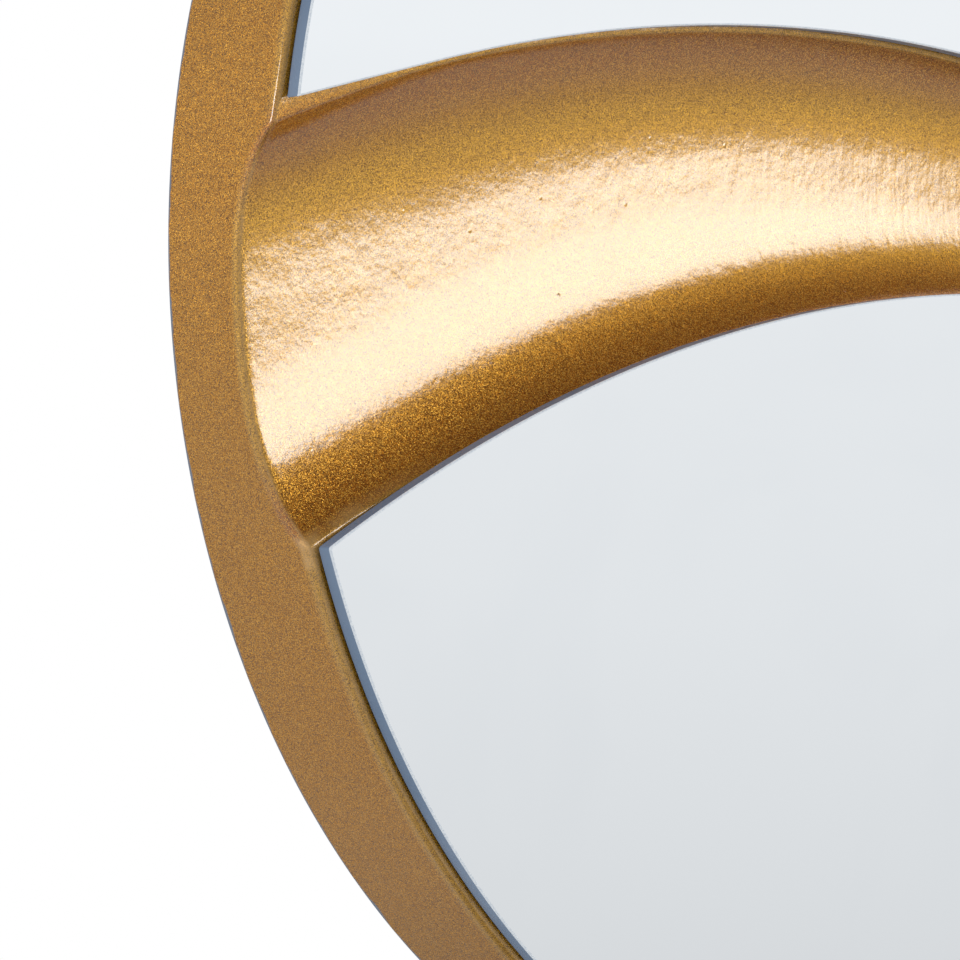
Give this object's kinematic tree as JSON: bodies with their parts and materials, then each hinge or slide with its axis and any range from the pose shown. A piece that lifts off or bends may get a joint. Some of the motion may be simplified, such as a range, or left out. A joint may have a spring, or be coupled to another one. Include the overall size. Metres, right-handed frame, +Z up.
{
  "type": "round wall mirror",
  "caption": "Round drum wall mirror: flat upper and lower glass plates parted by a curved scooped channel in a gold moulded frame, with swinging rings to hang it.",
  "frame": {"origin": "the drum's axis where it meets the wall, in the plane of the wall pads' back faces", "axes": "+Y into the wall, so the mirror faces -Y; +Z up; +X to the right of someone who looks into the mirror"},
  "size_m": [0.61, 0.0584, 0.61],
  "materials": {
    "gold_paint": "fine flaked gold spray paint over a moulded composite shell",
    "mirror_glass": "polished, with ground and seamed edges",
    "foam_tape": "dull closed cell foam",
    "hardboard": "smooth pressed fibre, unpainted",
    "zinc_steel": "bright zinc plate",
    "felt": "pressed wool felt"
  },
  "bodies": {
    "frame": {"backing_board": "hardboard", "board_screw_01": "zinc_steel", "board_screw_02": "zinc_steel", "board_screw_03": "zinc_steel", "board_screw_04": "zinc_steel", "board_screw_05": "zinc_steel", "board_screw_06": "zinc_steel", "board_screw_07": "zinc_steel", "board_screw_08": "zinc_steel", "board_screw_09": "zinc_steel", "board_screw_10": "zinc_steel", "board_screw_11": "zinc_steel", "board_screw_12": "zinc_steel", "frame_shell": "gold_paint", "left_hanger_screw_lower": "zinc_steel", "left_hanger_screw_upper": "zinc_steel", "left_hanger_strap": "zinc_steel", "lower_glass_tape_1": "foam_tape", "lower_glass_tape_2": "foam_tape", "lower_glass_tape_3": "foam_tape", "lower_glass_tape_4": "foam_tape", "lower_glass_tape_5": "foam_tape", "lower_glass_tape_6": "foam_tape", "lower_glass_tape_7": "foam_tape", "lower_glass_tape_8": "foam_tape", "lower_mirror_glass": "mirror_glass", "right_hanger_screw_lower": "zinc_steel", "right_hanger_screw_upper": "zinc_steel", "right_hanger_strap": "zinc_steel", "upper_glass_tape_1": "foam_tape", "upper_glass_tape_2": "foam_tape", "upper_glass_tape_3": "foam_tape", "upper_glass_tape_4": "foam_tape", "upper_glass_tape_5": "foam_tape", "upper_glass_tape_6": "foam_tape", "upper_glass_tape_7": "foam_tape", "upper_glass_tape_8": "foam_tape", "upper_mirror_glass": "mirror_glass", "wall_pad_lower_left": "felt", "wall_pad_lower_right": "felt", "wall_pad_upper_left": "felt", "wall_pad_upper_right": "felt"},
    "left_ring": {"left_d_ring": "zinc_steel"},
    "right_ring": {"right_d_ring": "zinc_steel"}
  },
  "joints": [
    {"name": "left_ring_swing", "type": "hinge", "parent": "frame", "child": "left_ring", "pos_m": [-0.165, -0.0069, 0.13], "axis": [-1, 0, 0], "range_deg": [0, 180]},
    {"name": "right_ring_swing", "type": "hinge", "parent": "frame", "child": "right_ring", "pos_m": [0.165, -0.0069, 0.13], "axis": [-1, 0, 0], "range_deg": [0, 180]}
  ]
}
